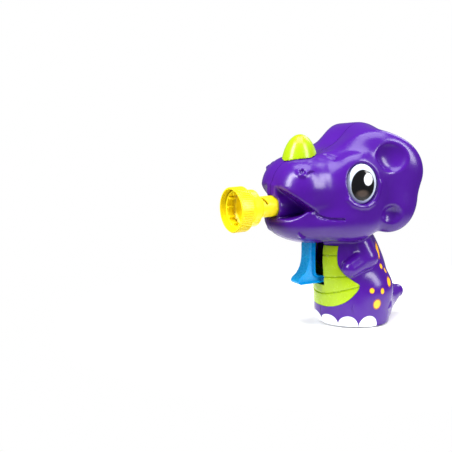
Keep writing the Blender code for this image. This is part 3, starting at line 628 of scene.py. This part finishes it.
def make_materials():
    """One material for each material slot of the record."""
    return {
        "purple_shell": surface("purple_shell", PURPLE, (0.21, 0.27), grain=0.04, paint=skin_paint),
        "lime_trim": surface("lime_trim", LIME, (0.2, 0.3), grain=0.05),
        "yellow_nozzle": surface("yellow_nozzle", YELLOW, (0.28, 0.38), grain=0.08),
        "blue_trigger": surface("blue_trigger", BLUE, (0.24, 0.34), grain=0.05),
        "eye": surface("eye", SCLERA, (0.1, 0.15), grain=0.0, paint=eye_paint),
        "nylon": surface("nylon", (0.80, 0.80, 0.77), (0.38, 0.5)),
        "grey_mechanism": surface("grey_mechanism", (0.33, 0.34, 0.36), (0.4, 0.55)),
        "seal_rubber": surface("seal_rubber", (0.02, 0.02, 0.02), (0.6, 0.75)),
        "bush_brass": surface("bush_brass", (0.70, 0.50, 0.20), (0.3, 0.42), 1.0),
        "steel": surface("steel", (0.55, 0.55, 0.57), (0.25, 0.4), 1.0),
    }


MATERIALS = {}                  # by slot, filled before the first piece is built


# ---------------------------------------------------------------- geometry nodes

def node_group(name, sockets):
    """A geometry node group with a geometry input and output and named number inputs."""
    group = bpy.data.node_groups.new(name, "GeometryNodeTree")
    group.interface.new_socket("Geometry", in_out="INPUT", socket_type="NodeSocketGeometry")
    for label, kind, value in sockets:
        socket = group.interface.new_socket(label, in_out="INPUT", socket_type=kind)
        if value is not None:
            socket.default_value = value
    group.interface.new_socket("Geometry", in_out="OUTPUT", socket_type="NodeSocketGeometry")
    return group, group.nodes.new("NodeGroupInput").outputs, group.nodes.new("NodeGroupOutput").inputs


def grow(item, group, **values):
    """Runs a node group on an object, with its inputs set by their identifiers, and stores the result."""
    modifier = item.modifiers.new(group.name, "NODES")
    modifier.node_group = group
    for socket in group.interface.items_tree:
        key = socket.name.lower().replace(" ", "_")
        if socket.in_out == "INPUT" and key in values:
            modifier[socket.identifier] = values[key]
    return store(item)


def rib_group():
    """Blocks stood evenly round the Y axis and joined to the piece."""
    group, source, result = node_group("Ribs", (
        ("Count", "NodeSocketInt", 60), ("Radius", "NodeSocketFloat", 0.0135),
        ("Size", "NodeSocketVector", None), ("Centre", "NodeSocketVector", None),
        ("Material", "NodeSocketMaterial", None)))
    ring = add(group, "GeometryNodeMeshCircle", Vertices=source["Count"], Radius=source["Radius"])
    block = add(group, "GeometryNodeMeshCube", Size=source["Size"])
    place = add(group, "GeometryNodeInputPosition")
    face_out = add(group, "FunctionNodeAlignRotationToVector", {"axis": "X"}, Vector=place.outputs[0])
    stood = add(group, "GeometryNodeInstanceOnPoints", Points=ring.outputs[0], Instance=block.outputs[0],
                Rotation=face_out.outputs[0])
    real = add(group, "GeometryNodeRealizeInstances", Geometry=stood.outputs[0])
    turn = add(group, "GeometryNodeTransform", Geometry=real.outputs[0], Translation=source["Centre"],
               Rotation=(math.radians(90), 0, 0))
    both = group.nodes.new("GeometryNodeJoinGeometry")
    for piece in (source["Geometry"], turn.outputs[0]):
        group.links.new(piece, both.inputs[0])
    painted = add(group, "GeometryNodeSetMaterial", Geometry=both.outputs[0], Material=source["Material"])
    group.links.new(painted.outputs[0], result[0])
    return group


def screw_group():
    """A cross-headed screw on each point, its head towards -X."""
    group, source, result = node_group("Screws", (
        ("Head", "NodeSocketFloat", 0.0026), ("Shank", "NodeSocketFloat", 0.0012),
        ("Length", "NodeSocketFloat", 0.012), ("Material", "NodeSocketMaterial", None)))
    tall, long, wide = 0.0016, 0.0034, 0.0007
    head = add(group, "GeometryNodeMeshCylinder", Vertices=32, Radius=source["Head"], Depth=tall)
    slots = group.nodes.new("GeometryNodeJoinGeometry")
    for size in ((long, wide, tall), (wide, long, tall)):
        group.links.new(add(group, "GeometryNodeMeshCube", Size=size).outputs[0], slots.inputs[0])
    raised = add(group, "GeometryNodeTransform", Geometry=slots.outputs[0], Translation=(0, 0, tall / 2))
    crossed = add(group, "GeometryNodeMeshBoolean", {"operation": "DIFFERENCE"})
    group.links.new(head.outputs[0], crossed.inputs[0])
    group.links.new(raised.outputs[0], crossed.inputs[1])
    shank = add(group, "GeometryNodeMeshCylinder", Vertices=24, Radius=source["Shank"],
                Depth=source["Length"])
    half = calc(group, "MULTIPLY", source["Length"], -0.5)
    offset = add(group, "ShaderNodeCombineXYZ", Z=half)
    lowered = add(group, "GeometryNodeTransform", Geometry=shank.outputs[0], Translation=offset.outputs[0])
    whole = group.nodes.new("GeometryNodeJoinGeometry")
    for piece in (crossed.outputs[0], lowered.outputs[0]):
        group.links.new(piece, whole.inputs[0])
    stood = add(group, "GeometryNodeInstanceOnPoints", Points=source["Geometry"], Instance=whole.outputs[0],
                Rotation=(0, math.radians(-90), 0))
    real = add(group, "GeometryNodeRealizeInstances", Geometry=stood.outputs[0])
    painted = add(group, "GeometryNodeSetMaterial", Geometry=real.outputs[0], Material=source["Material"])
    group.links.new(painted.outputs[0], result[0])
    return group


# ---------------------------------------------------------------- pieces

def belly_outline(grow_by):
    """The panel's outline seen from the front, grown evenly, as (x, z) points."""
    right = [(half + grow_by, z) for z, half in curve_through(BELLY_OUTLINE)]
    right[0] = (right[0][0], right[0][1] + 6)
    right[-1] = (right[-1][0], right[-1][1] - grow_by)
    return right + [(-x, z) for x, z in reversed(right)]


def make_shells(cell):
    """Two hollow halves with screw towers and wells."""
    left = net_object("skin_left", fine_outer, (-2.2, -72, -2), (50, 50, 132), cell)
    hollow = net_object("hollow", hollow_field, (-6.5, -72, -26), (50, 50, 132), 2.5 * cell)
    bore = rod("bore", -80, -30, COLLAR_BORE, (0, 0, NOZZLE_Z), 96, "Y")
    slot = box("slot", (-SLOT_HALF + 0.4, -37.2, 49.2), (SLOT_HALF - 0.4, -13.2, 66.0))
    hub_room = box("hub_room", (-9.5, -38.6, 56.6), (11.3, -20.0, 72.0))
    window = prism("window", belly_outline(GAP), -60, BELLY_BACK + GAP, "Y")
    combine(window, box("notch", (-40, -60, 2), (40, 40, 51.5)), operation="INTERSECT")
    combine(left, hollow, bore, slot, hub_room, window)
    combine(left, box("half", (SPLIT, -90, -30), (60, 60, 140)), operation="INTERSECT")
    right = mirrored(left, "skin_right")
    for shell, side, radius in ((left, 1, 3.6), (right, -1, 4.5)):
        towers = []
        for y, z in SCREW_PLACES:
            reach = wall_x(y, z, WALL * 0.6)
            ends = sorted((side * SPLIT, side * reach))
            towers.append(rod("tower", *ends, radius, (0, y, z)))
        combine(shell, joined("towers", towers), operation="UNION")
        holes = [rod("hole", -5, 9.5, 1.5, (0, y, z)) for y, z in SCREW_PLACES]
        combine(shell, joined("holes", holes))
    wells = [rod("well", -45, -4, 3.1, (0, y, z), 48) for y, z in SCREW_PLACES]
    combine(right, joined("wells", wells))
    for shell, node in ((left, "shell_left"), (right, "shell_right")):
        finish_piece(shell, "purple_shell", (node,))


def wall_x(y, z, depth):
    """Distance from the middle plane to the point where the skin's depth is reached, at (y, z)."""
    x = np.linspace(3, 45, 421)
    points = np.stack([x, np.full_like(x, y), np.full_like(x, z)], -1)
    return float(x[np.argmax(skin(points) > -depth)])


def belly_skin(p):
    """The barrel with the panel's creases engraved."""
    f = barrel(p) - 0.1
    x, z = p[..., 0], p[..., 2]
    for level, droop in CREASES:
        f = cut(f, np.maximum(np.abs(z - level + droop * x ** 2) - 0.35, -f - 0.7), 0.4)
    return np.maximum(f, 8.0 - z)


def belly_core(p):
    return np.maximum(barrel(p) + 1.5, 3.0 - p[..., 2])


def make_belly(cell):
    """A thin curved panel with a slot for the trigger down its middle."""
    panel = net_object("belly_plate", belly_skin, (-30, -40, 0), (30, 30, 74), cell)
    combine(panel, net_object("core", belly_core, (-30, -40, -2), (30, 30, 74), 3 * cell))
    combine(panel, prism("outline", belly_outline(0.0), -60, BELLY_BACK, "Y"), operation="INTERSECT")
    combine(panel, box("cavity", (-SLOT_HALF - 0.5, -60, 26), (SLOT_HALF + 0.5, 0, 80)),
            box("under_jaw", (-40, -60, 51.2), (40, 40, 80)))
    finish_piece(panel, "lime_trim", ("belly_panel",))


def make_horn(cell):
    """Round horn that stands on the skin."""
    x, y, z = HORN_CENTRE

    def field(p):
        return np.maximum(ellipsoid(p, HORN_CENTRE, HORN_RADII), GAP + 0.05 - skin(p))
    dome = net_object("horn_dome", field, (x - 14, y - 15, z - 2), (x + 14, y + 15, z + 25), cell)
    finish_piece(dome, "lime_trim", ("horn",))


def make_eyes(cell):
    """A domed eye in each socket."""
    x, y, z = EYE_CENTRE

    def field(p):
        return np.maximum(ellipsoid(p, EYE_CENTRE, EYE_RADII, EYE_TURN), 0.35 - skin(p))
    left = net_object("eyeball_left", field, (x - 12, y - 14, z - 15), (x + 12, y + 14, z + 15), cell)
    right = mirrored(left, "eyeball_right")
    for eye, node in ((left, "eye_left"), (right, "eye_right")):
        finish_piece(eye, "eye", (node,))


def make_nozzle(ribs):
    """Stepped nozzle with a notch in its neck and ribs round its rim, and the ring that holds the film."""
    at = (0, 0, NOZZLE_Z)
    yellow = MATERIALS["yellow_nozzle"]
    profile = ((-89.4, 12.3), (-89.4, 13.1), (-81.0, 13.1), (-80.2, 12.4), (-78.6, 11.2), (-74.2, 11.0),
               (-71.6, NECK_RADIUS + 0.6), (-70.6, NECK_RADIUS), (NECK_END, NECK_RADIUS),
               (NECK_END, AIR_RADIUS),
               (-70.0, AIR_RADIUS), (-73.4, 9.4), (-79.6, 9.8), (-81.6, 12.3))
    cup = turned("nozzle_cup", softened(profile, 0.5), 96, at)
    notch = box("notch", (4.8, -1.0, -2.8), (8.0, 1.0, 2.8))
    to_side = Matrix.Rotation(math.radians(-45), 4, "Y") @ Matrix.Rotation(0.45, 4, "X")
    notch.data.transform(Matrix.Translation((0, -68.4 * MM, NOZZLE_Z * MM)) @ to_side)
    combine(cup, notch)
    grow(cup, rib_group(), count=ribs, radius=13.2 * MM, size=(0.7 * MM, 0.62 * MM, 7.6 * MM),
         centre=(0, -85.2 * MM, NOZZLE_Z * MM), material=yellow)
    finish_piece(cup, "yellow_nozzle", ("nozzle",))
    ring_profile = ((-86.0, 10.4), (-86.0, 11.8), (-82.0, 11.8), (-82.0, 10.4))
    ring = turned("film_ring", softened(ring_profile, 0.3), 64, at)
    grow(ring, rib_group(), count=10, radius=9.7 * MM, size=(2.2 * MM, 0.9 * MM, 3.6 * MM),
         centre=(0, -84 * MM, NOZZLE_Z * MM), material=yellow)
    finish_piece(ring, "yellow_nozzle", ("bubble_ring",))


def make_trigger():
    """Finger lever with a rim round a recessed web, its hub, sector drive and pin hole."""
    y, z = PIVOT_Y, PIVOT_Z
    front = curve_through(((-36.6, 57.0), (-36.4, 50.0), (-36.5, 43.0), (-37.6, 38.0), (-40.0, 34.0),
                           (-43.4, 31.2), (-43.8, 28.9), (-42.0, 27.7)), 4)
    back = curve_through(((-25.5, 27.7), (-24.0, 28.8), (-24.0, 30.6), (-25.5, 31.8), (-29.5, 32.2),
                          (-31.3, 34.5), (-31.7, 43.0), (-31.6, 52.6), (-30.6, 54.2), (-26.0, 54.6),
                          (-25.3, 55.6), (-25.3, 60.6)), 4)
    hub = [(y + 4.5 * math.cos(a), z + 4.5 * math.sin(a)) for a in (math.pi * i / 12 for i in range(13))]
    lever = prism("lever", front + back + hub, -TRIGGER_HALF, TRIGGER_HALF)
    maker = bmesh.new()
    maker.from_mesh(lever.data)
    rim, recess = 1.15, 2.6
    sides = [side for side in maker.faces if abs(side.normal.x) > 0.9]
    bmesh.ops.inset_individual(maker, faces=sides, thickness=rim * MM)
    for side in sides:
        bmesh.ops.translate(maker, verts=side.verts, vec=side.normal * -recess * MM)
    bmesh.ops.triangulate(maker, faces=[side for side in maker.faces if len(side.verts) > 4])
    maker.to_mesh(lever.data)
    maker.free()
    rounded(lever, 0.35)
    combine(lever, rod("hub", -TRIGGER_HALF + 0.2, 8.2, 4.4, (0, y, z), 48), operation="UNION")
    combine(lever, rod("drive", 7.8, 10.6, 2.9, (0, y, z), 6), operation="UNION")
    combine(lever, rod("pin_hole", -20, 20, PIN_RADIUS + GAP, (0, y, z)))
    finish_piece(lever, "blue_trigger", ("trigger",), "trigger_arm")


def make_screws():
    """The screws that close the shells, in their wells."""
    seats = mesh_object("shell_screws", [(-5.1, y, z) for y, z in SCREW_PLACES], [])
    grow(seats, screw_group(), length=11.5 * MM, material=MATERIALS["steel"])
    nodes = [f"shell_screw_{i + 1}" for i in range(len(SCREW_PLACES))]
    finish_piece(seats, "steel", nodes)


def make_spring():
    """Return spring, a round wire on a helix, built at one length; the real spring shortens as the trigger is
    squeezed.
    """
    steps, sides = 24, 10
    rings = SPRING_TURNS * steps
    start = np.array(SPRING_START)
    points, faces = [], []
    for i in range(rings + 1):
        angle = math.tau * i / steps
        out = np.array((math.cos(angle), 0, math.sin(angle)))
        middle = start + SPRING_RADIUS * out + (0, SPRING_LENGTH * i / rings, 0)
        for k in range(sides):
            around = math.tau * k / sides
            across = out * math.cos(around) + np.array((0, math.sin(around), 0))
            points.append(middle + SPRING_WIRE * across)
    for i in range(rings):
        a, b = i * sides, (i + 1) * sides
        faces += [(a + k, a + (k + 1) % sides, b + (k + 1) % sides, b + k) for k in range(sides)]
    faces += [range(sides), range(len(points) - sides, len(points))]
    spring = mesh_object("spring", points, faces)
    finish_piece(spring, "steel", ("return_spring",))
    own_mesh(spring)


def dress_mechanism():
    """Gives every CAD piece that still shows the material of its slot."""
    slots = {part["node"]: part["material_slot"] for part in frame["record"]["subparts"]}
    for node, item in frame["nodes"].items():
        if not item.hide_render:
            item.data.materials.clear()
            item.data.materials.append(MATERIALS[slots[node]])


# ---------------------------------------------------------------- stage

def softbox(name, azimuth, elevation, reach, size, power):
    """A rectangular light at a compass direction round the object, facing it."""
    light = bpy.data.lights.new(name, "AREA")
    light.shape = "RECTANGLE"
    light.size, light.size_y = size
    light.energy = power
    item = bpy.data.objects.new(name, light)
    a, e = math.radians(azimuth), math.radians(elevation)
    out = Vector((math.sin(a) * math.cos(e), -math.cos(a) * math.cos(e), math.sin(e)))
    item.location = out * reach + Vector((0, -0.02, 0.08))
    item.rotation_euler = out.to_track_quat("Z", "Y").to_euler()
    bpy.context.scene.collection.objects.link(item)


def floor_material():
    """White floor that fades into the surround some way from the object."""
    material = surface("floor", (0.9, 0.9, 0.9), (0.6, 0.7), grain=0.0)
    tree = material.node_tree
    away = add(tree, "ShaderNodeVectorMath", {"operation": "LENGTH"}, i0=millimetres(tree)).outputs["Value"]
    clear = add(tree, "ShaderNodeMapRange", {"interpolation_type": "SMOOTHSTEP"}, i0=away, i1=60.0, i2=190.0)
    solid = calc(tree, "SUBTRACT", 1.0, clear.outputs[0])
    tree.links.new(solid, tree.nodes["Principled BSDF"].inputs["Alpha"])
    return material


def make_stage():
    """Camera, white floor, four softboxes and a dim surround."""
    scene = bpy.context.scene
    scene.view_settings.view_transform = "Standard"
    lens = bpy.data.cameras.new("camera")
    lens.lens, lens.sensor_width = LENS, 36.0
    lens.clip_start, lens.clip_end = 0.05, 20
    camera = bpy.data.objects.new("camera", lens)
    camera.matrix_world = Matrix(CAMERA_AXES).transposed().to_4x4()
    camera.location = CAMERA_PLACE
    scene.collection.objects.link(camera)
    scene.camera = camera

    corners = [(x * FLOOR_REACH, y * FLOOR_REACH, -0.4) for x, y in ((-1, -1), (1, -1), (1, 1), (-1, 1))]
    floor = mesh_object("floor", corners, [(0, 1, 2, 3)])
    floor.data.materials.append(floor_material())

    for light in LIGHTS:
        softbox(*light)

    world = bpy.data.worlds.new("surround")
    scene.world = world
    world.use_nodes = True
    tree = world.node_tree
    sky = tree.nodes["Background"]
    seen = add(tree, "ShaderNodeLightPath").outputs["Is Camera Ray"]
    sky.inputs["Color"].default_value = (1, 1, 1, 1)
    strength = add(tree, "ShaderNodeMapRange", i0=seen, i3=0.2, i4=1.0).outputs[0]
    tree.links.new(strength, sky.inputs["Strength"])


# ---------------------------------------------------------------- add-on

class BubbleMachineSettings(bpy.types.PropertyGroup):
    skin_cell: bpy.props.FloatProperty(
        name="Skin facet", description="Facet size of the moulded skin, in millimetres",
        default=0.65, min=0.4, max=6)
    trim_cell: bpy.props.FloatProperty(
        name="Trim facet", description="Facet size of the horn, eyes and belly panel, in millimetres",
        default=0.5, min=0.3, max=4)
    ribs: bpy.props.IntProperty(
        name="Rim ribs", description="Grip ribs round the nozzle's rim", default=60, min=12)


class BuildOperator(bpy.types.Operator):
    """Runs one step of the build"""
    bl_options = {"REGISTER", "UNDO"}

    def execute(self, context):
        if not MATERIALS:
            MATERIALS.update(make_materials())
        self.build(context.scene.bubble_machine)
        return {"FINISHED"}


class BUBBLE_OT_shells(BuildOperator):
    """Build the two hollow halves of the body"""
    bl_idname = "bubble.shells"
    bl_label = "Shells"

    def build(self, settings):
        make_shells(settings.skin_cell)


class BUBBLE_OT_belly(BuildOperator):
    """Build the belly panel"""
    bl_idname = "bubble.belly"
    bl_label = "Belly panel"

    def build(self, settings):
        make_belly(settings.trim_cell)


class BUBBLE_OT_horn(BuildOperator):
    """Build the horn"""
    bl_idname = "bubble.horn"
    bl_label = "Horn"

    def build(self, settings):
        make_horn(settings.trim_cell)


class BUBBLE_OT_eyes(BuildOperator):
    """Build both eyes"""
    bl_idname = "bubble.eyes"
    bl_label = "Eyes"

    def build(self, settings):
        make_eyes(settings.trim_cell)


class BUBBLE_OT_nozzle(BuildOperator):
    """Build the nozzle and its bubble ring"""
    bl_idname = "bubble.nozzle"
    bl_label = "Nozzle"

    def build(self, settings):
        make_nozzle(settings.ribs)


class BUBBLE_OT_trigger(BuildOperator):
    """Build the trigger"""
    bl_idname = "bubble.trigger"
    bl_label = "Trigger"

    def build(self, settings):
        make_trigger()


class BUBBLE_OT_screws(BuildOperator):
    """Build the six screws that close the shells"""
    bl_idname = "bubble.screws"
    bl_label = "Screws"

    def build(self, settings):
        make_screws()


class BUBBLE_OT_mechanism(BuildOperator):
    """Build the return spring and give the mechanism its materials"""
    bl_idname = "bubble.mechanism"
    bl_label = "Mechanism"

    def build(self, settings):
        make_spring()
        dress_mechanism()


class BUBBLE_OT_stage(BuildOperator):
    """Build the floor, lights and camera"""
    bl_idname = "bubble.stage"
    bl_label = "Stage"

    def build(self, settings):
        make_stage()


STEPS = (BUBBLE_OT_stage, BUBBLE_OT_shells, BUBBLE_OT_belly, BUBBLE_OT_horn, BUBBLE_OT_eyes,
         BUBBLE_OT_nozzle, BUBBLE_OT_trigger, BUBBLE_OT_screws, BUBBLE_OT_mechanism)


class BUBBLE_PT_panel(bpy.types.Panel):
    bl_label = "Bubble machine"
    bl_idname = "BUBBLE_PT_panel"
    bl_space_type = "VIEW_3D"
    bl_region_type = "UI"
    bl_category = "Bubble machine"

    def draw(self, context):
        settings = context.scene.bubble_machine
        for name in ("skin_cell", "trim_cell", "ribs"):
            self.layout.prop(settings, name)
        for step in STEPS:
            self.layout.operator(step.bl_idname)


def register():
    for item in (BubbleMachineSettings, *STEPS, BUBBLE_PT_panel):
        bpy.utils.register_class(item)
    bpy.types.Scene.bubble_machine = bpy.props.PointerProperty(type=BubbleMachineSettings)


def unregister():
    del bpy.types.Scene.bubble_machine
    for item in (BUBBLE_PT_panel, *reversed(STEPS), BubbleMachineSettings):
        bpy.utils.unregister_class(item)


def main():
    register()
    for step in STEPS:
        group, name = step.bl_idname.split(".")
        getattr(getattr(bpy.ops, group), name)()


if __name__ == "__main__":
    main()
